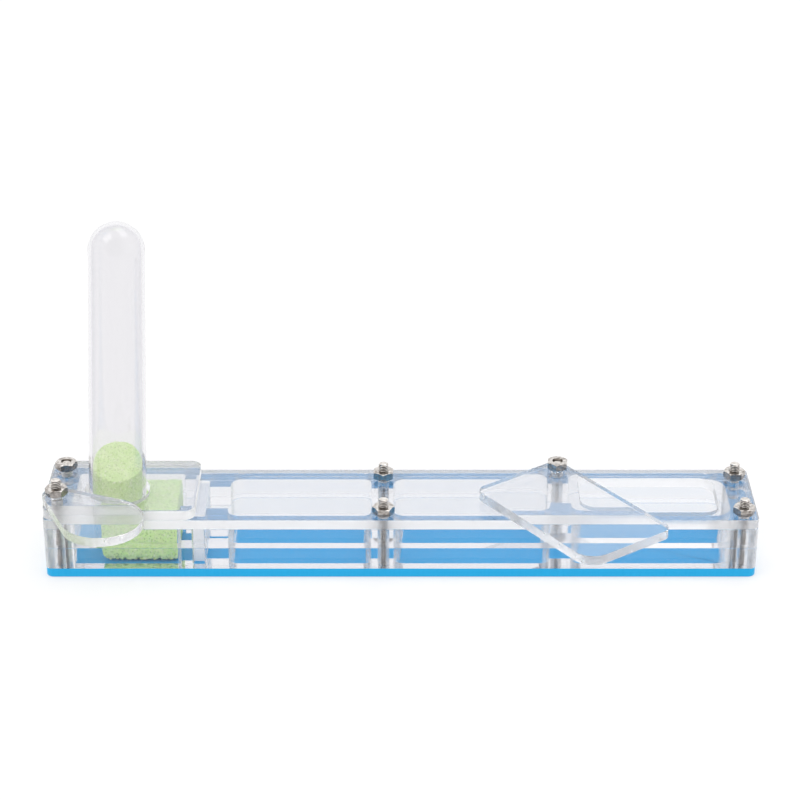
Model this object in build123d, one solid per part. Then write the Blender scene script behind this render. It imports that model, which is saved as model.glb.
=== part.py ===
from build123d import *
import math
import os

# Layered clear-acrylic ant nest with a test-tube water tower.
# All sizes are millimetres.  The origin is the centre of the base plate's underside, +Z is up,
# +X runs along the strip away from the water tower and -Y is the viewing side.

# ---- outline of the strip -------------------------------------------------------------------
STRIP_LENGTH = 200.0
STRIP_DEPTH = 30.0
SHEET_CORNER_R = 1.6
BASE_CORNER_R = 2.2

# ---- the stack, from the table up -----------------------------------------------------------
AIR_FILM = 0.05          # the sheets are clamped, not glued, so a film of air stays between them
BASE_T = 2.6
LOWER_T = 6.55
UPPER_T = 6.0
TOP_T = 2.9
HOLDER_T = 2.9
SWING_T = 2.75           # both swinging covers
SWING_GAP = 0.2          # running clearance under and over a swinging cover

LOWER_Z = BASE_T + AIR_FILM
UPPER_Z = LOWER_Z + LOWER_T + AIR_FILM
TOP_Z = UPPER_Z + UPPER_T + AIR_FILM
DECK_Z = TOP_Z + TOP_T                      # upper face of the top plate
HOLDER_Z = DECK_Z + AIR_FILM
HOLDER_TOP_Z = HOLDER_Z + HOLDER_T
LID_Z = DECK_Z + SWING_GAP
COVER_Z = HOLDER_TOP_Z + SWING_GAP

# ---- chambers, measured from the left end and the front face of the strip -------------------
WALL_FRONT = 4.8
WALL_BACK = 3.7
CHAMBER_FRONT = WALL_FRONT
CHAMBER_BACK = STRIP_DEPTH - WALL_BACK
WATER_ROOM = (7.7, 38.0)
WATER_ROOM_R = 1.0
# Each nest room runs from the first X to the second; its corners are rounded by the third
# number at the left end and by the fourth at the right end.
NEST_ROOMS = ((51.2, 91.6, 3.2, 2.3), (97.9, 142.1, 3.2, 3.2), (148.0, 193.0, 3.2, 4.8))
SLOT_X = (41.2, 45.1)
SLOT_Y = (4.4, 25.6)
SLOT_R = 0.5
WATER_PASSAGE = (36.0, 43.0, 7.4, 23.0)     # between the water room and the partition slot
SLOT_PASSAGE = (44.0, 56.0, 9.2, 21.8)      # between the slot and the first nest room
ROOM_PASSAGES = ((88.0, 101.0, 9.2, 20.8), (138.0, 152.0, 9.2, 20.8))
FEED_X = (150.5, 189.6)
FEED_Y = (4.6, 24.8)
FEED_R = 4.5

# ---- screws and nuts ------------------------------------------------------------------------
SCREW_EDGE = 4.4
SCREW_FRONT_Y = SCREW_EDGE
SCREW_BACK_Y = STRIP_DEPTH - SCREW_EDGE
SCREW_D = 2.86           # over the crests of a rolled M3 thread
SCREW_TIP_CHAMFER = 0.35
SCREW_HOLE_D = 3.3
LEFT_SCREW_X = 3.9       # both screws that hold the tube holder plate
SCREW_TOP_Z = 22.7
FLUSH_SCREW_TOP_Z = 23.1   # these two end just inside their nuts
LONG_SCREW_TOP_Z = 28.8
HEAD_D = 5.6
HEAD_H = 1.6
HEAD_SINK = 0.15         # heads sit this far inside the base plate's underside
HEAD_CLEAR = 0.15        # between a head's rim and its countersink
SOCKET_AF = 2.0
SOCKET_DEPTH = 1.1
NUT_AF = 5.5
NUT_H = 2.15
NUT_BORE_D = 2.96
NUT_SEAT = 0.02
NUT_CORNER_DROP = 0.28   # height and reach of the cone that trims a nut's corners
NUT_CORNER_REACH = 0.48

# ---- water tower ----------------------------------------------------------------------------
HOLDER_LENGTH = 42.4
HOLDER_CORNER_R = 3.0
TUBE_X = 19.8
TUBE_Y = 13.0
HOLDER_HOLE_D = 18.4
WATER_HOLE_D = 15.2
TUBE_MOUTH_D = 16.3
TUBE_SHOULDER_D = 15.4
TUBE_WALL = 0.9
TUBE_LENGTH = 83.4
TUBE_LEAN = 2.65         # the tube stands loosely in its hole and leans toward +X, degrees
TUBE_SEAT_GAP = 0.2
PLUG_MOUTH_D = 14.2
PLUG_TOP_D = 14.0
PLUG_BELOW_MOUTH = 3.1
PLUG_HEIGHT = 11.5       # top of the plug on its axis, above the mouth
PLUG_TOP_TILT = 22.0     # the plug's cut end slopes down toward the viewing side, degrees

# ---- swinging covers ------------------------------------------------------------------------
LID_LENGTH = 50.0
LID_DEPTH = 30.0
LID_R = 3.1
LID_TIP_R = 6.0          # the corner that is lifted by a fingertip is rounder
LID_PIVOT_X = 145.0
LID_PIVOT_INSET_X = 4.0  # pivot to the lid's end edge
LID_PIVOT_INSET_Y = 3.2  # pivot to the lid's long edge
LID_REST = -53.75        # degrees open, clockwise seen from above
COVER_BOSS_R = 4.0
COVER_DISC_R = 11.3
COVER_ARM = 19.5
COVER_REST = -43.6       # direction of the disc from the pivot at rest, degrees
PIVOT_HOLE_D = 3.02

# ---- partition and sponge pad ---------------------------------------------------------------
PARTITION_T = 3.6
PARTITION_Y = (5.7, 24.3)
PARTITION_CLEAR = 0.15
PARTITION_EDGE_R = 0.3
PARTITION_HOLE_D = 1.3
PARTITION_ROWS = 5
PARTITION_COLUMNS = 6
PARTITION_ROW_PITCH = 2.2
PARTITION_COLUMN_PITCH = 2.4
PAD_X = (15.5, 37.3)
PAD_Y = (5.7, 24.6)
PAD_Z = (2.95, 14.75)
PAD_LEFT_R = 3.0
PAD_EDGE_R = 0.6

# ---- cutters --------------------------------------------------------------------------------
THROUGH = 1.0            # a cutter runs this far past the faces that it cuts through
TRIM = 60.0              # side of the blocks that trim a piece, larger than the piece
HAIR = 0.001             # less than any real size

os.makedirs("parts", exist_ok=True)


def px(x):
    """Distance from the left end to the frame's X."""
    return x - STRIP_LENGTH / 2


def py(y):
    """Distance from the front face to the frame's Y."""
    return y - STRIP_DEPTH / 2


def block(x0, x1, y0, y1, z0, z1, radius=0.0):
    """Upright block between the given distances, with its vertical edges rounded."""
    body = Box(x1 - x0, y1 - y0, z1 - z0, align=(Align.MIN, Align.MIN, Align.MIN))
    body = body.locate(Location((px(x0), py(y0), z0)))
    if radius > 0:
        body = fillet(body.edges().filter_by(Axis.Z), radius)
    return body


def rod(x, y, z0, z1, diameter):
    """Upright cylinder at plan distances x, y."""
    body = Cylinder(diameter / 2, z1 - z0, align=(Align.CENTER, Align.CENTER, Align.MIN))
    return body.locate(Location((px(x), py(y), z0)))


def is_box_corner(edge):
    """True for the three corners of the lid's blank that still are sharp."""
    at = edge.center()
    end_x = min(abs(at.X + LID_PIVOT_INSET_X), abs(at.X + LID_PIVOT_INSET_X - LID_LENGTH))
    end_y = min(abs(at.Y - LID_PIVOT_INSET_Y), abs(at.Y - LID_PIVOT_INSET_Y + LID_DEPTH))
    return end_x < HAIR and end_y < HAIR


def save(name, body):
    """Write one node as a STEP file."""
    solids = body.solids()
    shape = solids[0] if len(solids) == 1 else Compound(children=list(solids))
    export_step(shape, "parts/" + name + ".step")
    print(name, len(solids), round(shape.volume, 1))


# Screw positions: name, distance from the left end, distance from the front, seat of its nut.
COVER_TOP_Z = COVER_Z + SWING_T
LID_TOP_Z = LID_Z + SWING_T
SCREWS = (
    ("holder_back", LEFT_SCREW_X, SCREW_BACK_Y, HOLDER_TOP_Z + NUT_SEAT, FLUSH_SCREW_TOP_Z),
    ("cover_pivot", LEFT_SCREW_X, SCREW_FRONT_Y, COVER_TOP_Z + SWING_GAP, LONG_SCREW_TOP_Z),
    ("middle_back", 95.0, SCREW_BACK_Y, DECK_Z + NUT_SEAT, SCREW_TOP_Z),
    ("middle_front", 95.1, SCREW_FRONT_Y, DECK_Z + NUT_SEAT, SCREW_TOP_Z),
    ("lid_pivot", LID_PIVOT_X, SCREW_BACK_Y, LID_TOP_Z + SWING_GAP, FLUSH_SCREW_TOP_Z),
    ("end_back", 196.0, SCREW_BACK_Y, DECK_Z + NUT_SEAT, SCREW_TOP_Z),
    ("end_front", 196.2, SCREW_FRONT_Y, DECK_Z + NUT_SEAT, SCREW_TOP_Z),
)
# Turn of each hexagon about its own axis, in degrees.
NUT_TURN = {"holder_back": 8, "cover_pivot": 4, "middle_back": 28, "middle_front": 2,
            "lid_pivot": 22, "end_back": 3, "end_front": 5}


def drill_screws(body, z0, z1, names=None):
    """Clearance holes for the clamping screws."""
    for name, x, y, seat, end in SCREWS:
        if names is None or name in names:
            body = body - rod(x, y, z0 - THROUGH, z1 + THROUGH, SCREW_HOLE_D)
    return body


def cut_rooms(z0, z1):
    """Everything that is cut right through a frame sheet, as one list of cutters."""
    lo = z0 - THROUGH
    hi = z1 + THROUGH
    cutters = [block(WATER_ROOM[0], WATER_ROOM[1], CHAMBER_FRONT, CHAMBER_BACK, lo, hi, WATER_ROOM_R)]
    for x0, x1, left_r, right_r in NEST_ROOMS:
        room = block(x0, x1, CHAMBER_FRONT, CHAMBER_BACK, lo, hi)
        ends = room.edges().filter_by(Axis.Z).sort_by(Axis.X)
        room = fillet(ends[:2], left_r)
        ends = [e for e in room.edges().filter_by(Axis.Z) if abs(e.center().X - px(x1)) < HAIR]
        cutters.append(fillet(ends, right_r))
    cutters.append(block(SLOT_X[0], SLOT_X[1], SLOT_Y[0], SLOT_Y[1], lo, hi, SLOT_R))
    for x0, x1, y0, y1 in (WATER_PASSAGE, SLOT_PASSAGE) + ROOM_PASSAGES:
        cutters.append(block(x0, x1, y0, y1, lo, hi))
    return cutters


# ---- base plate -----------------------------------------------------------------------------
base = block(0, STRIP_LENGTH, 0, STRIP_DEPTH, 0, BASE_T, BASE_CORNER_R)
base = drill_screws(base, 0, BASE_T)
for name, x, y, seat, end in SCREWS:
    sink_r = HEAD_D / 2 + HEAD_CLEAR
    sink = Cone(sink_r, SCREW_HOLE_D / 2, HEAD_H + HEAD_SINK,
                align=(Align.CENTER, Align.CENTER, Align.MIN))
    base = base - sink.locate(Location((px(x), py(y), 0)))
save("base_plate", base)

# ---- the two frames -------------------------------------------------------------------------
lower = block(0, STRIP_LENGTH, 0, STRIP_DEPTH, LOWER_Z, LOWER_Z + LOWER_T, SHEET_CORNER_R)
for cutter in cut_rooms(LOWER_Z, LOWER_Z + LOWER_T):
    lower = lower - cutter
lower = drill_screws(lower, LOWER_Z, LOWER_Z + LOWER_T)
save("lower_frame", lower)

upper = block(0, STRIP_LENGTH, 0, STRIP_DEPTH, UPPER_Z, UPPER_Z + UPPER_T, SHEET_CORNER_R)
for cutter in cut_rooms(UPPER_Z, UPPER_Z + UPPER_T):
    upper = upper - cutter
upper = drill_screws(upper, UPPER_Z, UPPER_Z + UPPER_T)
save("upper_frame", upper)

# ---- top plate ------------------------------------------------------------------------------
top = block(0, STRIP_LENGTH, 0, STRIP_DEPTH, TOP_Z, DECK_Z, SHEET_CORNER_R)
top = top - block(FEED_X[0], FEED_X[1], FEED_Y[0], FEED_Y[1], TOP_Z - THROUGH, DECK_Z + THROUGH, FEED_R)
top = top - rod(TUBE_X, TUBE_Y, TOP_Z - THROUGH, DECK_Z + THROUGH, WATER_HOLE_D)
top = drill_screws(top, TOP_Z, DECK_Z)
save("top_plate", top)

# ---- tube holder plate ----------------------------------------------------------------------
holder = block(0, HOLDER_LENGTH, 0, STRIP_DEPTH, HOLDER_Z, HOLDER_TOP_Z, HOLDER_CORNER_R)
holder = holder - rod(TUBE_X, TUBE_Y, HOLDER_Z - THROUGH, HOLDER_TOP_Z + THROUGH, HOLDER_HOLE_D)
holder = drill_screws(holder, HOLDER_Z, HOLDER_TOP_Z, ("holder_back", "cover_pivot"))
save("tube_holder_plate", holder)

# ---- perforated partition -------------------------------------------------------------------
slot_mid = (SLOT_X[0] + SLOT_X[1]) / 2
part_z0 = LOWER_Z + PARTITION_CLEAR
part_z1 = UPPER_Z + UPPER_T - PARTITION_CLEAR
partition = block(slot_mid - PARTITION_T / 2, slot_mid + PARTITION_T / 2,
                  PARTITION_Y[0], PARTITION_Y[1], part_z0, part_z1, PARTITION_EDGE_R)
part_mid_y = (PARTITION_Y[0] + PARTITION_Y[1]) / 2
part_mid_z = (part_z0 + part_z1) / 2
for row in range(PARTITION_ROWS):
    for column in range(PARTITION_COLUMNS):
        hole_y = part_mid_y + (column - (PARTITION_COLUMNS - 1) / 2) * PARTITION_COLUMN_PITCH
        hole_z = part_mid_z + (row - (PARTITION_ROWS - 1) / 2) * PARTITION_ROW_PITCH
        drill = Cylinder(PARTITION_HOLE_D / 2, PARTITION_T + 2 * THROUGH)
        partition = partition - drill.locate(Location((px(slot_mid), py(hole_y), hole_z), (0, 90, 0)))
save("humidity_partition", partition)

# ---- sponge pad in the water room -----------------------------------------------------------
pad = block(PAD_X[0], PAD_X[1], PAD_Y[0], PAD_Y[1], PAD_Z[0], PAD_Z[1])
left_bottom = pad.edges().filter_by(Axis.Y).sort_by(Axis.Z)[:2].sort_by(Axis.X)[0]
pad = fillet(left_bottom, PAD_LEFT_R)
pad_mid_z = (PAD_Z[0] + PAD_Z[1]) / 2
soft = [e for e in pad.edges().filter_by(Axis.Y) if e.center().Z > pad_mid_z]
pad = fillet(soft, PAD_EDGE_R)
save("humidity_sponge", pad)

# ---- test tube and its plug -----------------------------------------------------------------
mouth_r = TUBE_MOUTH_D / 2
lean = math.radians(TUBE_LEAN)
mouth_z = DECK_Z + TUBE_SEAT_GAP + mouth_r * math.sin(lean)
tube_place = Location((px(TUBE_X), py(TUBE_Y), mouth_z), (0, TUBE_LEAN, 0))
shoulder_r = TUBE_SHOULDER_D / 2
shoulder_z = TUBE_LENGTH - shoulder_r


def tube_body(r0, r1, z0, z1):
    """Tapered body from z0 to z1 closed by a half sphere on top."""
    side = Cone(r0, r1, z1 - z0, align=(Align.CENTER, Align.CENTER, Align.MIN))
    side = side.locate(Location((0, 0, z0)))
    dome = Sphere(r1).locate(Location((0, 0, z1)))
    return side + dome


taper = (mouth_r - shoulder_r) / shoulder_z
outer = tube_body(mouth_r, shoulder_r, 0, shoulder_z)
bore = tube_body(mouth_r - TUBE_WALL + taper * THROUGH, shoulder_r - TUBE_WALL,
                 -THROUGH, shoulder_z)
tube = outer - bore
save("test_tube", tube.locate(tube_place))

plug_low = -PLUG_BELOW_MOUTH
plug_high = PLUG_HEIGHT + PLUG_TOP_D / 2      # a blank that the slanted cut then shortens
plug = Cone(PLUG_MOUTH_D / 2, PLUG_TOP_D / 2, plug_high - plug_low,
            align=(Align.CENTER, Align.CENTER, Align.MIN))
plug = plug.locate(Location((0, 0, plug_low)))
slope_cut = Box(TRIM, TRIM, TRIM, align=(Align.CENTER, Align.CENTER, Align.MIN))
slope_cut = slope_cut.locate(Location((0, 0, PLUG_HEIGHT), (PLUG_TOP_TILT, 0, 0)))
plug = plug - slope_cut
save("tube_sponge_plug", plug.locate(tube_place))

# ---- feeding lid ----------------------------------------------------------------------------
lid = Box(LID_LENGTH, LID_DEPTH, SWING_T, align=(Align.MIN, Align.MAX, Align.MIN))
lid = lid.locate(Location((-LID_PIVOT_INSET_X, LID_PIVOT_INSET_Y, 0)))
corners = lid.edges().filter_by(Axis.Z).sort_by(lambda e: e.center().X - e.center().Y)
lid = fillet(corners[-1], LID_TIP_R)
sharp = [e for e in lid.edges().filter_by(Axis.Z) if is_box_corner(e)]
lid = fillet(sharp, LID_R)
lid = lid - Cylinder(PIVOT_HOLE_D / 2, 2 * (SWING_T + THROUGH))
lid_place = Location((px(LID_PIVOT_X), py(SCREW_BACK_Y), LID_Z), (0, 0, LID_REST))
save("feeding_lid", lid.locate(lid_place))

# ---- teardrop cover for the tube hole -------------------------------------------------------
alpha = math.asin((COVER_DISC_R - COVER_BOSS_R) / COVER_ARM)
ca = math.cos(alpha)
sa = math.sin(alpha)
boss_hi = (-COVER_BOSS_R * sa, COVER_BOSS_R * ca)
disc_hi = (COVER_ARM - COVER_DISC_R * sa, COVER_DISC_R * ca)
disc_lo = (disc_hi[0], -disc_hi[1])
boss_lo = (boss_hi[0], -boss_hi[1])
outline = Wire([
    Line(boss_hi, disc_hi),
    ThreePointArc(disc_hi, (COVER_ARM + COVER_DISC_R, 0), disc_lo),
    Line(disc_lo, boss_lo),
    ThreePointArc(boss_lo, (-COVER_BOSS_R, 0), boss_hi),
])
cover = extrude(Face(outline), SWING_T)
if cover.bounding_box().min.Z < -HAIR:
    cover = cover.locate(Location((0, 0, SWING_T)))
cover = cover - Cylinder(PIVOT_HOLE_D / 2, 2 * (SWING_T + THROUGH))
cover_place = Location((px(LEFT_SCREW_X), py(SCREW_FRONT_Y), COVER_Z), (0, 0, COVER_REST))
save("tube_hole_cover", cover.locate(cover_place))

# ---- screws and nuts ------------------------------------------------------------------------
for name, x, y, seat, end in SCREWS:
    shank = Cylinder(SCREW_D / 2, end - HEAD_SINK, align=(Align.CENTER, Align.CENTER, Align.MIN))
    shank = chamfer(shank.edges().sort_by(Axis.Z)[-1], SCREW_TIP_CHAMFER)
    head = Cone(HEAD_D / 2, SCREW_D / 2, HEAD_H, align=(Align.CENTER, Align.CENTER, Align.MIN))
    screw = shank + head
    socket = extrude(RegularPolygon(SOCKET_AF / 2, 6, major_radius=False), SOCKET_DEPTH)
    screw = screw - socket
    save("screw_" + name, screw.locate(Location((px(x), py(y), HEAD_SINK))))

    turn = NUT_TURN[name]
    hexagon = extrude(RegularPolygon(NUT_AF / 2, 6, major_radius=False), NUT_H)
    bevel = Cylinder(NUT_AF / math.sqrt(3) + NUT_SEAT, NUT_H,
                     align=(Align.CENTER, Align.CENTER, Align.MIN))
    bevel = chamfer(bevel.edges(), NUT_CORNER_DROP, NUT_CORNER_REACH)
    nut = hexagon & bevel
    nut = nut - Cylinder(NUT_BORE_D / 2, 2 * (NUT_H + THROUGH))
    save("nut_" + name, nut.locate(Location((px(x), py(y), seat), (0, 0, turn))))
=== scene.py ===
import math

import bmesh
import bpy
import numpy as np
from mathutils import Matrix, Vector, noise


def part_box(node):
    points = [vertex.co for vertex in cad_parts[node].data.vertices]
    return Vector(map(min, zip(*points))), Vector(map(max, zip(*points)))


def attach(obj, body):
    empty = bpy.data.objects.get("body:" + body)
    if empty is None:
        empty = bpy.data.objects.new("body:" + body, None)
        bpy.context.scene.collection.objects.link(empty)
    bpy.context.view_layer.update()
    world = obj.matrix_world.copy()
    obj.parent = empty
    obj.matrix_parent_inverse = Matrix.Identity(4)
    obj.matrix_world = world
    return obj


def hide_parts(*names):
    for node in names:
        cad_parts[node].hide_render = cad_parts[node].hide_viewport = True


# Looks of a layered acrylic ant nest with a test-tube water tower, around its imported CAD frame.
# Everything is in metres in the row frame; MM turns millimetres into metres.

MM = 0.001
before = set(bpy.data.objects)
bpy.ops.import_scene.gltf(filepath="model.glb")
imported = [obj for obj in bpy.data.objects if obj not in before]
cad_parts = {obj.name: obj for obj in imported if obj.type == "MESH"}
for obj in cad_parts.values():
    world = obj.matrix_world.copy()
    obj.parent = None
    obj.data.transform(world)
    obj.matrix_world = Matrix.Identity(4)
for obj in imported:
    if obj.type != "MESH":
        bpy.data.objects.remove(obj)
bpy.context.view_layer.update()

# ---- sizes of the pieces that are modelled here ---------------------------------------------
THREAD_PITCH = 0.5 * MM
THREAD_MAJOR_R = 1.42 * MM
THREAD_MINOR_R = 1.12 * MM
THREAD_STEPS = 8           # rings for each turn of the thread
THREAD_ROOT = 0.14         # flat root, as a share of half a pitch
THREAD_FLANK = 0.66        # flank, as a share of half a pitch
THREAD_START = 0.05 * MM   # plain neck between head and thread
THREAD_END = 0.3 * MM      # length of the rounded point past the thread
# radius of each ring of the rounded point, and how far it is below the very end
POINT_RINGS = (
    (1.16 * MM, 0.14 * MM),
    (0.98 * MM, 0.05 * MM),
    (0.6 * MM, 0.01 * MM),
    (0.2 * MM, 0.0),
)
SCREW_SIDES = 30
HEAD_R = 2.8 * MM
HEAD_H = 1.6 * MM
HEAD_ROUND = 0.12 * MM     # how far the flat of the head stops short of its rim
HEAD_RIM = 0.1 * MM        # height of that rounding
NECK_CLEAR = 0.03 * MM     # the head's cone ends this much wider than the thread
SOCKET_R = 1.0 * MM        # half the distance across the flats of the hexagon socket
SOCKET_DEPTH = 1.1 * MM
SOCKET_FLOOR_SHARE = 0.97  # the socket is a little narrower at its floor
SOCKET_LIP_SHARE = 1.06    # and opens out in a lip
SOCKET_LIP_DEPTH = 0.12 * MM
DRILL_R = 0.15 * MM        # tip of the drilled cone above the socket's floor
DRILL_H = 0.25 * MM

TUBE_SIDES = 96
WALL_STEPS = 12
DOME_STEPS = 22
RIM_STEPS = 8
TUBE_MOUTH_R = 8.15 * MM
TUBE_SHOULDER_R = 7.7 * MM
TUBE_WALL = 0.9 * MM
RIM_HEIGHT = 0.9 * MM      # the ring at the tube's mouth, whitish with a painted highlight
RIM_GAP = 0.01 * MM        # hairline between the ring and the tube's wall
TUBE_LENGTH = 83.4 * MM
TUBE_LEAN = math.radians(2.65)
TUBE_X = -80.2 * MM
TUBE_Y = -2.0 * MM
DECK_Z = 18.2 * MM         # upper face of the roof
TUBE_SEAT_GAP = 0.2 * MM

FOAM_VOXEL = 0.28 * MM
FOAM_SOFTEN = 0.5          # share of each smoothing step
FOAM_SOFTEN_STEPS = 4
PORE_REACH = 0.42          # a pore ends at this share of the spacing between pores
TEAR_SIZE = 1.9 * MM       # coarse unevenness of a torn face
TEAR_SHARE = 0.7
FUZZ_SIZE = 0.7 * MM       # fine unevenness
FUZZ_SHARE = 0.3
CRUMB_SIZE = 0.9 * MM      # crumbs missing from the lowest edge
CRUMB_LIFT = 0.2           # raises the share of that edge that is torn away
FRAY_HEIGHT = 1.6 * MM     # a torn edge reaches this far up

FINE_EDGE = 0.15 * MM      # bevel on the stacked sheets
BROAD_EDGE = 0.32 * MM     # bevel on the small sheets on the deck
WELD_GAP = 0.001 * MM
SHARP_ANGLE = math.radians(40)


def srgb(red, green, blue):
    """A colour given as 0 to 255 display values, as the linear values that shaders take."""
    out = []
    for v in (red, green, blue):
        v = v / 255
        out.append(v / 12.92 if v <= 0.04045 else ((v + 0.055) / 1.055) ** 2.4)
    return (*out, 1.0)


# ---- materials ------------------------------------------------------------------------------
class Shader:
    """A material being wired up, with short ways to add and join nodes."""

    def __init__(self, name):
        self.mat = bpy.data.materials.new(name)
        self.mat.use_nodes = True
        self.tree = self.mat.node_tree
        self.tree.nodes.clear()
        self.out = self.tree.nodes.new("ShaderNodeOutputMaterial")
        self.bsdf = self.tree.nodes.new("ShaderNodeBsdfPrincipled")
        self.join(self.bsdf.outputs[0], self.out.inputs["Surface"])
        self.coords = self.tree.nodes.new("ShaderNodeTexCoord")

    def join(self, source, target):
        """Link an output to an input."""
        self.tree.links.new(source, target)

    def add(self, kind, **values):
        """A new node with constant values on its inputs."""
        made = self.tree.nodes.new(kind)
        for key, value in values.items():
            made.inputs[key.replace("_", " ")].default_value = value
        return made

    def set(self, **values):
        """Constant numbers and colours on the Principled shader's own sockets."""
        for key, value in values.items():
            self.bsdf.inputs[key.replace("_", " ")].default_value = value

    def place(self, scale):
        """Object coordinates stretched by a scale for each axis, per metre."""
        mapping = self.add("ShaderNodeMapping")
        mapping.inputs["Scale"].default_value = scale
        self.join(self.coords.outputs["Object"], mapping.inputs["Vector"])
        return mapping.outputs["Vector"]

    def noise(self, scale, detail=3.0, roughness=0.55):
        """Cloudy pattern; scale is one number per metre or one for each axis."""
        if not hasattr(scale, "__len__"):
            scale = (scale, scale, scale)
        made = self.add("ShaderNodeTexNoise", Scale=1.0, Detail=detail, Roughness=roughness)
        self.join(self.place(scale), made.inputs["Vector"])
        return made.outputs["Fac"]

    def cells(self, scale):
        """Distance to the nearest point of a cell pattern."""
        made = self.add("ShaderNodeTexVoronoi", Scale=1.0)
        self.join(self.place((scale, scale, scale)), made.inputs["Vector"])
        return made.outputs["Distance"]

    def remap(self, value, low, high, to_low, to_high):
        """Clamped linear map of one range to another."""
        made = self.add("ShaderNodeMapRange")
        made.inputs["From Min"].default_value = low
        made.inputs["From Max"].default_value = high
        made.inputs["To Min"].default_value = to_low
        made.inputs["To Max"].default_value = to_high
        self.join(value, made.inputs["Value"])
        return made.outputs["Result"]

    def math(self, operation, first, second):
        """Result of a maths node; each value is a number or a socket."""
        made = self.add("ShaderNodeMath")
        made.operation = operation
        for socket, value in zip(made.inputs, (first, second)):
            if isinstance(value, (int, float)):
                socket.default_value = value
            else:
                self.join(value, socket)
        return made.outputs[0]

    def blend(self, factor, first, second):
        """Colour between two colours or colour sockets."""
        made = self.tree.nodes.new("ShaderNodeMix")
        made.data_type = "RGBA"
        self.join(factor, made.inputs["Factor"])
        for name, value in (("A", first), ("B", second)):
            socket = next(s for s in made.inputs if s.name == name and s.type == "RGBA")
            if isinstance(value, tuple):
                socket.default_value = value
            else:
                self.join(value, socket)
        return next(s for s in made.outputs if s.type == "RGBA")

    def bump(self, height, distance):
        """Relief; height is 0 to 1 and distance the full depth in metres."""
        made = self.add("ShaderNodeBump", Strength=1.0, Distance=distance)
        self.join(height, made.inputs["Height"])
        self.join(made.outputs["Normal"], self.bsdf.inputs["Normal"])

    def axis(self, coords, name):
        """One axis of the object's own coordinates or of its normal."""
        split = self.add("ShaderNodeSeparateXYZ")
        self.join(self.coords.outputs[coords], split.inputs[0])
        return split.outputs[name]

    def upright(self):
        """1 on upright faces and 0 on level ones."""
        level = self.math("ABSOLUTE", self.axis("Normal", "Z"), 0.0)
        return self.remap(level, 0.35, 0.75, 1.0, 0.0)

    def height_share(self, low, high):
        """0 below the first height at rest and 1 above the second."""
        return self.remap(self.axis("Object", "Z"), low, high, 0.0, 1.0)

    def sideways(self):
        """1 on upright faces that don't face straight forward or back, 0 on those that do."""
        forward = self.math("ABSOLUTE", self.axis("Normal", "Y"), 0.0)
        return self.math("MULTIPLY", self.upright(), self.remap(forward, 0.82, 0.985, 1.0, 0.0))

    def let_light_through(self, tint):
        """Lamps and light from matt surfaces pass straight through, so what is behind is lit."""
        path = self.tree.nodes.new("ShaderNodeLightPath")
        lamp = path.outputs["Is Shadow Ray"]
        matt = path.outputs["Is Diffuse Ray"]
        straight = self.math("MAXIMUM", lamp, matt)
        open_shader = self.tree.nodes.new("ShaderNodeBsdfTransparent")
        open_shader.inputs[0].default_value = tint
        mix = self.tree.nodes.new("ShaderNodeMixShader")
        self.join(straight, mix.inputs[0])
        self.join(self.bsdf.outputs[0], mix.inputs[1])
        self.join(open_shader.outputs[0], mix.inputs[2])
        self.join(mix.outputs[0], self.out.inputs["Surface"])


# Base colours of the clear materials tint what is seen through them. Their light tints do the
# same to the light of lamps and matt surfaces that passes straight through.
SHEET_TINT = (0.875, 0.878, 0.898, 1.0)
SHEET_PALE_TINT = (0.905, 0.908, 0.925, 1.0)
SHEET_LIGHT_TINT = (0.987, 0.989, 0.992, 1.0)
COVER_TINT = (0.90, 0.903, 0.915, 1.0)
COVER_PALE_TINT = (0.925, 0.928, 0.94, 1.0)
TUBE_TINT = (0.885, 0.88, 0.895, 1.0)
TUBE_PALE_TINT = (0.905, 0.90, 0.91, 1.0)
TUBE_EDGE_TINT = (0.79, 0.785, 0.815, 1.0)
TUBE_LIGHT_TINT = (0.985, 0.985, 0.99, 1.0)
# painted highlight: the first two rim colours make the tube's end ring whitish
RIM_HIGHLIGHT_TINT = (0.93, 0.935, 0.94, 1.0)
RIM_HIGHLIGHT_PALE_TINT = (0.995, 0.995, 1.0, 1.0)
RIM_LIGHT_TINT = (0.97, 0.97, 0.975, 1.0)
BLUE_FACE = (0.0, 0.315, 0.68, 1.0)
BLUE_FACE_PALE = (0.004, 0.355, 0.74, 1.0)
BLUE_EDGE = (0.008, 0.405, 0.775, 1.0)
BLUE_EDGE_PALE = (0.026, 0.465, 0.855, 1.0)
BLUE_GRIT = (0.01, 0.05, 0.10, 1.0)
FROST_SIDE = (0.90, 0.90, 0.90, 1.0)
FROST_SIDE_PALE = (0.99, 0.99, 0.99, 1.0)
FROST_TOP = (0.60, 0.64, 0.72, 1.0)
FROST_TOP_PALE = (0.75, 0.78, 0.84, 1.0)
FROST_LIGHT_TINT = (0.9, 0.9, 0.92, 1.0)
THREAD_ROOT_SHADE_LOW = srgb(112, 104, 97)    # painted shade in the thread's roots inside the sheets
THREAD_ROOT_SHADE_HIGH = srgb(62, 54, 48)     # deeper painted shade in the thread's roots on the ends above the deck
FOAM_FLECK = srgb(250, 255, 236)
FOAM_SCATTER = (0.8, 1.0, 0.5)
FLOOR_GREY = (0.49, 0.49, 0.495, 1.0)
FLOOR_PALE_GREY = (0.51, 0.51, 0.51, 1.0)
WHITE = (1.0, 1.0, 1.0, 1.0)

ACRYLIC_IOR = 1.49
TUBE_IOR = 1.5
BLUE_IOR = 1.45
STEEL_IOR = 2.5
PAINTED_DARK_END_HEIGHT = 2.0 * MM     # over this height above the deck, screws turn to a darker painted reflection
PAINTED_DARK_END_SHARE = 0.25       # how far the painted dark reflection takes the ends above the deck towards the darker steel
FLAT_PAINTED_REFLECTION_SHARE = 0.5           # how far a painted dark reflection takes the flats of a nut towards the darker steel


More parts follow.
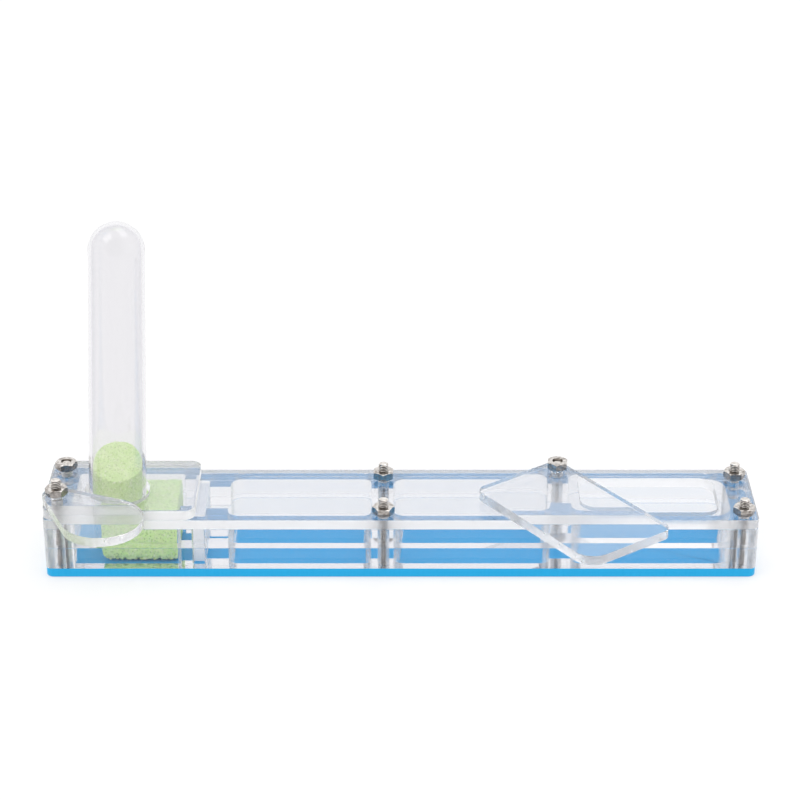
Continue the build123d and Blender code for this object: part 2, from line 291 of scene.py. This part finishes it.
def acrylic(name, haze, tint, pale_tint, cut_rough, rib_depth, face_ribs):
    """Clear cast sheet with glossy faces and finely ribbed laser-cut edges.

    Haze is the share of light that fine scratches and dust on the faces scatter.
    Ribs are deepest round corners and across the ends, where the cutting beam slows down;
    face_ribs is their share on the long straight cuts.
    """
    s = Shader(name)
    s.set(Transmission_Weight=1.0 - haze, IOR=ACRYLIC_IOR, Specular_IOR_Level=0.5)
    smear = s.noise(90.0, 4.0)
    s.join(s.blend(smear, tint, pale_tint), s.bsdf.inputs["Base Color"])
    cut = s.upright()
    strength = s.remap(s.sideways(), 0.0, 1.0, face_ribs, 1.0)
    ribs = s.noise((2400.0, 2400.0, 900.0), 5.0, 0.72)
    dust = s.remap(s.noise(700.0, 3.0), 0.62, 0.8, 0.0, 0.05)
    s.join(s.math("ADD", s.math("MULTIPLY", cut, cut_rough), dust), s.bsdf.inputs["Roughness"])
    s.bump(s.math("MULTIPLY", s.math("MULTIPLY", ribs, cut), strength), rib_depth)
    s.let_light_through(SHEET_LIGHT_TINT)
    return s.mat


def tube_plastic():
    """Moulded clear tube, a little hazy, with faint flow lines along it."""
    s = Shader("tube_plastic")
    s.set(Transmission_Weight=1.0, IOR=TUBE_IOR)
    flow = s.noise((240.0, 240.0, 18.0), 3.0)
    wall = s.blend(flow, TUBE_TINT, TUBE_PALE_TINT)
    graze = s.tree.nodes.new("ShaderNodeLayerWeight")
    graze.inputs["Blend"].default_value = 0.5
    edge_on = s.remap(graze.outputs["Facing"], 0.36, 0.6, 0.0, 1.0)
    s.join(s.blend(edge_on, wall, TUBE_EDGE_TINT), s.bsdf.inputs["Base Color"])
    s.join(s.remap(s.noise(400.0, 4.0), 0.3, 0.8, 0.015, 0.06), s.bsdf.inputs["Roughness"])
    s.bump(flow, 0.01 * MM)
    s.let_light_through(TUBE_LIGHT_TINT)
    return s.mat


def rim_painted_highlight():
    """Rough end ring of the tube, with fine marks round it; its whitish colour is a painted
    highlight.
    """
    s = Shader("rim_painted_highlight")
    s.set(Transmission_Weight=0.35, IOR=TUBE_IOR)
    marks = s.noise((900.0, 900.0, 4200.0), 3.0)
    # painted highlight: whitish colour on the end ring
    s.join(s.blend(marks, RIM_HIGHLIGHT_TINT, RIM_HIGHLIGHT_PALE_TINT), s.bsdf.inputs["Base Color"])
    s.join(s.remap(s.noise(800.0, 3.0), 0.3, 0.8, 0.2, 0.4), s.bsdf.inputs["Roughness"])
    s.bump(marks, 0.03 * MM)
    s.let_light_through(RIM_LIGHT_TINT)
    return s.mat


def blue_sheet():
    """Opaque blue cast acrylic: glossy, with a faint swirl, stray grit and satin cut edges."""
    s = Shader("blue_sheet")
    s.set(IOR=BLUE_IOR, Specular_IOR_Level=0.25)
    swirl = s.noise(60.0, 4.0)
    face = s.blend(swirl, BLUE_FACE, BLUE_FACE_PALE)
    streaks = s.noise((1800.0, 1800.0, 60.0), 2.0)
    edge = s.blend(streaks, BLUE_EDGE, BLUE_EDGE_PALE)
    cut = s.upright()
    grit = s.remap(s.cells(70.0), 0.008, 0.014, 0.85, 0.0)
    face = s.blend(grit, face, BLUE_GRIT)
    s.join(s.blend(cut, face, edge), s.bsdf.inputs["Base Color"])
    fine = s.remap(s.noise(1500.0, 3.0), 0.3, 0.8, 0.02, 0.06)
    s.join(s.math("ADD", fine, s.math("MULTIPLY", cut, 0.3)), s.bsdf.inputs["Roughness"])
    ribs = s.noise((2600.0, 2600.0, 45.0), 2.0)
    s.bump(s.math("MULTIPLY", ribs, cut), 0.008 * MM)
    return s.mat


def frosted_sheet():
    """Matt, milky strip: sanded faces with pale and grey specks, and a clearer, greyer top."""
    s = Shader("frosted_sheet")
    s.set(Transmission_Weight=0.2, IOR=ACRYLIC_IOR)
    specks = s.remap(s.noise(1900.0, 2.0), 0.38, 0.56, 0.0, 1.0)
    side = s.blend(specks, FROST_SIDE, FROST_SIDE_PALE)
    top = s.blend(specks, FROST_TOP, FROST_TOP_PALE)
    s.join(s.blend(s.upright(), top, side), s.bsdf.inputs["Base Color"])
    s.join(s.remap(s.noise(900.0, 3.0), 0.3, 0.7, 0.3, 0.55), s.bsdf.inputs["Roughness"])
    s.bump(s.noise(2400.0, 3.0), 0.05 * MM)
    s.let_light_through(FROST_LIGHT_TINT)
    return s.mat


def steel(name, pale, dark, rough_low, rough_high, crest=False):
    """Stainless steel with turning marks and a little grime.

    With crest, painted shade darkens the thread's roots and the socket, which the
    mesh marks with its "crest" value. The ends above the deck get a painted dark reflection,
    so they are a little darker than the clamped shanks, with deeper painted shade in the roots.
    Without crest, upright flats get a painted dark reflection and are darker than turned faces.
    """
    s = Shader(name)
    s.set(Metallic=0.85 if crest else 1.0, IOR=STEEL_IOR)
    grime = s.remap(s.noise(1300.0, 4.0), 0.4, 0.75, 0.0, 1.0)
    body = s.blend(grime, pale, dark)
    if crest:
        # painted shade: the thread's roots and the socket darken by the mesh's crest value
        mark = s.tree.nodes.new("ShaderNodeAttribute")
        mark.attribute_name = "crest"
        shade = s.remap(mark.outputs["Fac"], 0.25, 0.9, 1.0, 0.0)
        above_deck = s.height_share(DECK_Z, DECK_Z + PAINTED_DARK_END_HEIGHT)
        # painted dark reflection: the ends above the deck go towards the darker steel
        body = s.blend(s.math("MULTIPLY", above_deck, PAINTED_DARK_END_SHARE), body, dark)
        root_shade = s.blend(above_deck, THREAD_ROOT_SHADE_LOW, THREAD_ROOT_SHADE_HIGH)
        body = s.blend(shade, body, root_shade)
    else:
        # painted dark reflection on the upright flats of nuts
        body = s.blend(s.math("MULTIPLY", s.upright(), FLAT_PAINTED_REFLECTION_SHARE), body, dark)
    s.join(body, s.bsdf.inputs["Base Color"])
    rough = s.remap(s.noise(2600.0, 3.0), 0.3, 0.8, rough_low, rough_high)
    s.join(rough, s.bsdf.inputs["Roughness"])
    s.bump(s.noise((900.0, 900.0, 9000.0), 2.0), 0.004 * MM)
    return s.mat


def foam(name, pale, deep, pit, side, pit_shade_share):
    """Open-cell sponge: colour varies by cell, pores get painted shade, and light soaks in.

    Side is how far painted shade takes the upright faces towards the pit colour; the last
    argument sets how strongly the painted shade in the pores shows.
    """
    s = Shader(name)
    s.set(Roughness=0.95, Specular_IOR_Level=0.15, Sheen_Weight=0.25, Sheen_Roughness=0.6)
    s.set(Subsurface_Weight=0.15, Subsurface_Scale=0.8 * MM)
    s.bsdf.inputs["Subsurface Radius"].default_value = FOAM_SCATTER
    cloud = s.remap(s.noise(330.0, 4.0), 0.3, 0.7, 0.0, 1.0)
    # painted shade: upright faces and pores are darkened towards the pit colour
    body = s.blend(s.math("MULTIPLY", s.upright(), side), s.blend(cloud, pale, deep), pit)
    pore_shade = s.remap(s.cells(1300.0), 0.1, 0.42, 1.0, 0.0)
    pit_shaded = s.blend(s.math("MULTIPLY", pore_shade, pit_shade_share), body, pit)
    flecks = s.remap(s.noise(1500.0, 3.0, 0.7), 0.56, 0.68, 0.0, 0.8)
    s.join(s.blend(flecks, pit_shaded, FOAM_FLECK), s.bsdf.inputs["Base Color"])
    s.bump(s.noise(2400.0, 4.0, 0.7), 0.4 * MM)
    return s.mat


CLEAR = acrylic("clear_acrylic", haze=0.006, tint=SHEET_TINT, pale_tint=SHEET_PALE_TINT,
                cut_rough=0.03, rib_depth=0.28 * MM, face_ribs=0.02)
ROOF_CLEAR = acrylic("roof_acrylic", haze=0.008, tint=SHEET_TINT, pale_tint=SHEET_PALE_TINT,
                     cut_rough=0.65, rib_depth=0.04 * MM, face_ribs=0.6)
COVER_CLEAR = acrylic("cover_acrylic", haze=0.05, tint=COVER_TINT, pale_tint=COVER_PALE_TINT,
                      cut_rough=0.26, rib_depth=0.04 * MM, face_ribs=0.6)
TUBE = tube_plastic()
PAINTED_RIM = rim_painted_highlight()
BLUE = blue_sheet()
FROSTED = frosted_sheet()
NUT_STEEL = steel("nut_steel", pale=srgb(222, 218, 214), dark=srgb(116, 107, 100),
                  rough_low=0.06, rough_high=0.18)
SCREW_STEEL = steel("screw_steel", pale=srgb(246, 242, 238), dark=srgb(176, 168, 160),
                    rough_low=0.14, rough_high=0.3, crest=True)
# pit is the colour of the painted shade in the pores and on the sides
PAD_FOAM = foam("pad_foam", pale=srgb(230, 254, 184), deep=srgb(208, 250, 154),
                pit=srgb(122, 172, 80), side=0.0, pit_shade_share=0.8)
PLUG_FOAM = foam("plug_foam", pale=srgb(233, 252, 198), deep=srgb(216, 243, 173),
                 pit=srgb(140, 166, 90), side=0.18, pit_shade_share=0.4)

NODE_MATERIALS = {
    "base_plate": BLUE,
    "lower_frame": CLEAR,
    "upper_frame": CLEAR,
    "top_plate": ROOF_CLEAR,
    "tube_holder_plate": ROOF_CLEAR,
    "feeding_lid": COVER_CLEAR,
    "tube_hole_cover": COVER_CLEAR,
    "humidity_partition": FROSTED,
}


def dress(obj, mat):
    """Give an object one material and no other."""
    obj.data.materials.clear()
    obj.data.materials.append(mat)


for node_name, node_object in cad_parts.items():
    dress(node_object, NODE_MATERIALS.get(node_name, NUT_STEEL))


def break_edges(obj, width):
    """Fine bevel along a sheet's sharp edges, where light catches."""
    weld = obj.modifiers.new("weld", "WELD")
    weld.merge_threshold = WELD_GAP
    bevel = obj.modifiers.new("edge_break", "BEVEL")
    bevel.width = width
    bevel.segments = 2
    bevel.limit_method = "ANGLE"
    bevel.angle_limit = SHARP_ANGLE
    bevel.harden_normals = True


for sheet_node in ("base_plate", "lower_frame", "upper_frame", "top_plate"):
    break_edges(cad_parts[sheet_node], FINE_EDGE)
for sheet_node in ("tube_holder_plate", "feeding_lid", "tube_hole_cover"):
    break_edges(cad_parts[sheet_node], BROAD_EDGE)


# ---- mesh helpers ---------------------------------------------------------------------------
def new_piece(name, verts, faces, mat, body):
    """A smooth-shaded mesh in the row frame that rides on a body."""
    mesh = bpy.data.meshes.new(name)
    mesh.from_pydata(verts, [], faces)
    bm = bmesh.new()
    bm.from_mesh(mesh)
    bmesh.ops.recalc_face_normals(bm, faces=bm.faces)
    bm.to_mesh(mesh)
    bm.free()
    obj = bpy.data.objects.new(name, mesh)
    bpy.context.scene.collection.objects.link(obj)
    mesh.materials.append(mat)
    for polygon in mesh.polygons:
        polygon.use_smooth = True
    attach(obj, body)
    return obj


def mark_sharp(obj):
    """Edges that turn sharply stay sharp in smooth shading."""
    mesh = obj.data
    bm = bmesh.new()
    bm.from_mesh(mesh)
    for edge in bm.edges:
        if len(edge.link_faces) == 2 and edge.calc_face_angle() > SHARP_ANGLE:
            edge.smooth = False
    bm.to_mesh(mesh)
    bm.free()


def skin_rings(rings):
    """Points and faces of a surface through rings that have the same number of points."""
    sides = len(rings[0])
    verts = [p for ring in rings for p in ring]
    faces = []
    for k in range(len(rings) - 1):
        for i in range(sides):
            j = (i + 1) % sides
            a = k * sides
            b = a + sides
            faces.append((a + i, a + j, b + j, b + i))
    return verts, faces


def circle(radius, z, sides, centre=(0.0, 0.0)):
    """One ring; radius is a number or a function of the angle."""
    ring = []
    for i in range(sides):
        angle = math.tau * i / sides
        r = radius(angle) if callable(radius) else radius
        ring.append((centre[0] + r * math.cos(angle), centre[1] + r * math.sin(angle), z))
    return ring


# ---- screws with real threads ---------------------------------------------------------------
def hexagon_radius(half_flats):
    """Radius of a hexagon as a function of the angle."""
    def radius(angle):
        return half_flats / math.cos((angle % (math.pi / 3)) - math.pi / 6)
    return radius


def thread_radius(z, angle, start):
    """Radius of the thread's surface: flat crests and roots, and flanks about 60 degrees apart."""
    phase = ((z - start) / THREAD_PITCH - angle / math.tau) % 1.0
    rise = abs(phase - 0.5) * 2.0
    share = min(1.0, max(0.0, (rise - THREAD_ROOT) / THREAD_FLANK))
    return THREAD_MINOR_R + (THREAD_MAJOR_R - THREAD_MINOR_R) * share


def screw(node_name):
    """Countersunk machine screw, threaded over its whole shank, with a hexagon socket."""
    low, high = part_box(node_name)
    centre = ((low.x + high.x) / 2, (low.y + high.y) / 2)
    z0, z1 = low.z, high.z
    socket = hexagon_radius(SOCKET_R)
    socket_top = z0 + SOCKET_DEPTH
    profile = [
        (DRILL_R, socket_top + DRILL_H),
        (lambda a: socket(a) * SOCKET_FLOOR_SHARE, socket_top),
        (socket, z0 + SOCKET_LIP_DEPTH),
        (lambda a: socket(a) * SOCKET_LIP_SHARE, z0),
        (HEAD_R - HEAD_ROUND, z0),
        (HEAD_R, z0 + HEAD_RIM),
        (THREAD_MAJOR_R + NECK_CLEAR, z0 + HEAD_H),
    ]
    start = z0 + HEAD_H + THREAD_START
    end = z1 - THREAD_END
    count = max(2, round((end - start) / THREAD_PITCH * THREAD_STEPS))
    for k in range(count + 1):
        z = start + (end - start) * k / count
        fade = min(1.0, k / THREAD_STEPS)

        def surface(angle, z=z, fade=fade):
            thread = thread_radius(z, angle, start)
            return THREAD_MAJOR_R + (thread - THREAD_MAJOR_R) * fade

        profile.append((surface, z))
    for radius, drop in POINT_RINGS:
        profile.append((radius, z1 - drop))
    rings = [circle(radius, z, SCREW_SIDES, centre) for radius, z in profile]
    verts, faces = skin_rings(rings)
    faces.append(tuple(range(SCREW_SIDES)))
    faces.append(tuple(range(len(verts) - SCREW_SIDES, len(verts))))
    piece = new_piece(node_name + "_threaded", verts, faces, SCREW_STEEL, "nest")
    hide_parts(node_name)
    mark_sharp(piece)
    # the crest value drives the painted shade in the thread's roots and socket
    crest = piece.data.attributes.new("crest", "FLOAT", "POINT")
    for i, vertex in enumerate(piece.data.vertices):
        reach = math.hypot(vertex.co.x - centre[0], vertex.co.y - centre[1])
        share = (reach - THREAD_MINOR_R) / (THREAD_MAJOR_R - THREAD_MINOR_R)
        crest.data[i].value = 1.0 if vertex.co.z > end else min(1.0, max(0.0, share))


for screw_node in [n for n in sorted(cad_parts) if n.startswith("screw_")]:
    screw(screw_node)


# ---- the test tube --------------------------------------------------------------------------
mouth_z = DECK_Z + TUBE_SEAT_GAP + TUBE_MOUTH_R * math.sin(TUBE_LEAN)
tube_place = Matrix.Translation((TUBE_X, TUBE_Y, mouth_z)) @ Matrix.Rotation(TUBE_LEAN, 4, "Y")
shoulder_z = TUBE_LENGTH - TUBE_SHOULDER_R


def dome(radius, z, steps):
    """Profile of a half sphere from its rim to near its pole."""
    points = []
    for k in range(1, steps):
        angle = math.pi / 2 * k / steps
        points.append((radius * math.cos(angle), z + radius * math.sin(angle)))
    return points


def wall_profile(mouth_r, shoulder_r):
    """Profile of one face of the tube, from just above its rim to near its pole."""
    points = []
    for k in range(WALL_STEPS + 1):
        z = RIM_HEIGHT + (shoulder_z - RIM_HEIGHT) * k / WALL_STEPS
        points.append((mouth_r + (shoulder_r - mouth_r) * z / shoulder_z, z))
    return points + dome(shoulder_r, shoulder_z, DOME_STEPS)


def placed(verts):
    """Points of the upright tube, moved to where it stands and leans."""
    return [tuple(tube_place @ Vector(v)) for v in verts]


def test_tube():
    """Lathed thin-walled tube, mouth down, with a round end."""
    inside = wall_profile(TUBE_MOUTH_R - TUBE_WALL, TUBE_SHOULDER_R - TUBE_WALL)
    outside = wall_profile(TUBE_MOUTH_R, TUBE_SHOULDER_R)
    rings = [circle(r, z, TUBE_SIDES) for r, z in list(reversed(inside)) + outside]
    verts, faces = skin_rings(rings)
    low_pole = len(verts)
    verts.append((0.0, 0.0, shoulder_z + TUBE_SHOULDER_R - TUBE_WALL))
    verts.append((0.0, 0.0, shoulder_z + TUBE_SHOULDER_R))
    last = (len(rings) - 1) * TUBE_SIDES
    for i in range(TUBE_SIDES):
        j = (i + 1) % TUBE_SIDES
        faces.append((i, j, low_pole))
        faces.append((last + i, last + j, low_pole + 1))
    piece = new_piece("test_tube_clear", placed(verts), faces, TUBE, "test_tube")
    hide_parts("test_tube")
    mark_sharp(piece)


def tube_rim():
    """Rounded ring that closes the tube's wall at the mouth."""
    lip = TUBE_WALL / 2
    top = RIM_HEIGHT - RIM_GAP
    profile = [(TUBE_MOUTH_R - TUBE_WALL, top)]
    for k in range(RIM_STEPS + 1):
        angle = math.pi * k / RIM_STEPS
        profile.append((TUBE_MOUTH_R - lip - lip * math.cos(angle), lip - lip * math.sin(angle)))
    profile.append((TUBE_MOUTH_R, top))
    rings = [circle(r, z, TUBE_SIDES) for r, z in profile]
    verts, faces = skin_rings(rings + rings[:1])
    count = len(rings) * TUBE_SIDES
    verts = verts[:count]
    faces = [tuple(i % count for i in face) for face in faces]
    piece = new_piece("test_tube_rim", placed(verts), faces, PAINTED_RIM, "test_tube")
    mark_sharp(piece)


tube_rim()
test_tube()


# ---- sponges --------------------------------------------------------------------------------
def foam_piece(node_name, name, mat, body, pore, depth, ragged, fray):
    """Sponge cut to a CAD solid's shape: even mesh, open pores and a torn surface.

    Pore is the spacing of the pores and depth how deep they are. Ragged is how deep all
    faces are torn, and fray how much deeper the lowest edge is.
    """
    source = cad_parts[node_name]
    mesh = source.data.copy()
    mesh.name = name
    obj = bpy.data.objects.new(name, mesh)
    bpy.context.scene.collection.objects.link(obj)
    remesh = obj.modifiers.new("even", "REMESH")
    remesh.mode = "VOXEL"
    remesh.voxel_size = FOAM_VOXEL
    smooth = obj.modifiers.new("soften", "SMOOTH")
    smooth.factor = FOAM_SOFTEN
    smooth.iterations = FOAM_SOFTEN_STEPS
    bpy.context.view_layer.update()
    dg = bpy.context.evaluated_depsgraph_get()
    made = bpy.data.meshes.new_from_object(obj.evaluated_get(dg), depsgraph=dg)
    obj.modifiers.clear()
    obj.data = made
    count = len(made.vertices)
    co = np.empty(count * 3)
    normal = np.empty(count * 3)
    made.vertices.foreach_get("co", co)
    made.vertices.foreach_get("normal", normal)
    co = co.reshape(-1, 3)
    normal = normal.reshape(-1, 3)
    sink = np.empty(count)
    lowest = co[:, 2].min()
    for i, p in enumerate(co):
        point = Vector(p)
        near = noise.voronoi(point / pore)[0][0]
        pit = max(0.0, 1.0 - near / PORE_REACH)
        tear = 0.5 + 0.5 * noise.noise(point / TEAR_SIZE)
        fuzz = 0.5 + 0.5 * noise.noise(point / FUZZ_SIZE)
        uneven = TEAR_SHARE * tear + FUZZ_SHARE * fuzz
        torn = max(0.0, 1.0 - (p[2] - lowest) / FRAY_HEIGHT)
        crumb = max(0.0, noise.noise(point / CRUMB_SIZE) + CRUMB_LIFT)
        sink[i] = depth * pit + ragged * uneven + fray * torn * crumb
    co = co - normal * sink[:, None]
    made.vertices.foreach_set("co", co.ravel())
    made.update()
    made.materials.clear()
    made.materials.append(mat)
    for polygon in made.polygons:
        polygon.use_smooth = True
    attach(obj, body)
    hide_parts(node_name)


foam_piece("humidity_sponge", "sponge_pad", PAD_FOAM, "nest",
           pore=1.0 * MM, depth=0.4 * MM, ragged=0.4 * MM, fray=1.6 * MM)
foam_piece("tube_sponge_plug", "sponge_plug", PLUG_FOAM, "test_tube",
           pore=0.9 * MM, depth=0.25 * MM, ragged=0.1 * MM, fray=0.0)


# ---- studio ---------------------------------------------------------------------------------
FLOOR_HALF = 3.0
FLOOR_Z = -0.1 * MM
FLOOR_GLOW = 0.47         # a lit table top, so the nest leaves next to no shadow on it


def studio_floor():
    """Plain white table top."""
    mesh = bpy.data.meshes.new("studio_floor")
    corners = [(-FLOOR_HALF, -FLOOR_HALF, FLOOR_Z), (FLOOR_HALF, -FLOOR_HALF, FLOOR_Z),
               (FLOOR_HALF, FLOOR_HALF, FLOOR_Z), (-FLOOR_HALF, FLOOR_HALF, FLOOR_Z)]
    mesh.from_pydata(corners, [], [(0, 1, 2, 3)])
    obj = bpy.data.objects.new("studio_floor", mesh)
    bpy.context.scene.collection.objects.link(obj)
    s = Shader("floor_white")
    s.set(Roughness=0.9, Specular_IOR_Level=0.0)
    s.join(s.blend(s.noise(3.0), FLOOR_GREY, FLOOR_PALE_GREY), s.bsdf.inputs["Base Color"])
    s.set(Emission_Strength=FLOOR_GLOW, Emission_Color=WHITE)
    mesh.materials.append(s.mat)


studio_floor()

WORLD_LEVEL = 1.1
FRONT_LEVEL = 0.75        # the room in front of the nest is darker than the white tent
TOWARD_ROOM = (0.0, -0.83, 0.56)
ROOM_OUTER = 0.55         # cosines of the angles from there, where the dimming begins
ROOM_INNER = 0.9          # and where it is full


def studio_world():
    """White tent all round, open toward the room in front of the nest."""
    world = bpy.data.worlds.new("studio")
    bpy.context.scene.world = world
    world.use_nodes = True
    tree = world.node_tree
    background = tree.nodes["Background"]
    coords = tree.nodes.new("ShaderNodeTexCoord")
    facing = tree.nodes.new("ShaderNodeVectorMath")
    facing.operation = "DOT_PRODUCT"
    facing.inputs[1].default_value = TOWARD_ROOM
    level = tree.nodes.new("ShaderNodeMapRange")
    level.interpolation_type = "SMOOTHSTEP"
    level.inputs["From Min"].default_value = ROOM_OUTER
    level.inputs["From Max"].default_value = ROOM_INNER
    level.inputs["To Min"].default_value = WORLD_LEVEL
    level.inputs["To Max"].default_value = FRONT_LEVEL
    tree.links.new(coords.outputs["Generated"], facing.inputs[0])
    tree.links.new(facing.outputs["Value"], level.inputs["Value"])
    tree.links.new(level.outputs["Result"], background.inputs["Strength"])
    background.inputs["Color"].default_value = WHITE


studio_world()


def softbox(name, location, width, height, power):
    """Rectangular area lamp aimed at the middle of the nest's underside; power is in watts."""
    data = bpy.data.lights.new(name, "AREA")
    data.shape = "RECTANGLE"
    data.size = width
    data.size_y = height
    data.energy = power
    obj = bpy.data.objects.new(name, data)
    bpy.context.scene.collection.objects.link(obj)
    obj.location = location
    aim = -Vector(location)
    obj.rotation_euler = aim.to_track_quat("-Z", "Y").to_euler()


softbox("key_softbox", (-0.9, -0.3, 1.6), width=1.0, height=1.0, power=3.5)
softbox("top_softbox", (0.5, 0.5, 1.7), width=1.4, height=0.8, power=3.5)

# ---- camera ---------------------------------------------------------------------------------
CAMERA_AT = (-0.000238, -0.601409, 0.347085)
CAMERA_PITCH = 26.426     # degrees below the horizon
FILM_WIDTH = 36.0         # millimetres, like the focal length
FOCAL_LENGTH = 108.45
camera_data = bpy.data.cameras.new("photo_camera")
camera_data.sensor_width = FILM_WIDTH
camera_data.lens = FOCAL_LENGTH
camera_data.clip_start = 0.01
camera_data.clip_end = 50.0
camera = bpy.data.objects.new("photo_camera", camera_data)
bpy.context.scene.collection.objects.link(camera)
camera.location = CAMERA_AT
camera.rotation_euler = (math.radians(90.0 - CAMERA_PITCH), 0.0, 0.0)
bpy.context.scene.camera = camera

# Many clear layers lie behind each other, so light paths may be long.
cycles = bpy.context.scene.cycles
cycles.max_bounces = 32
cycles.transmission_bounces = 32
cycles.glossy_bounces = 12
cycles.transparent_max_bounces = 64
bpy.context.scene.view_settings.view_transform = "Standard"
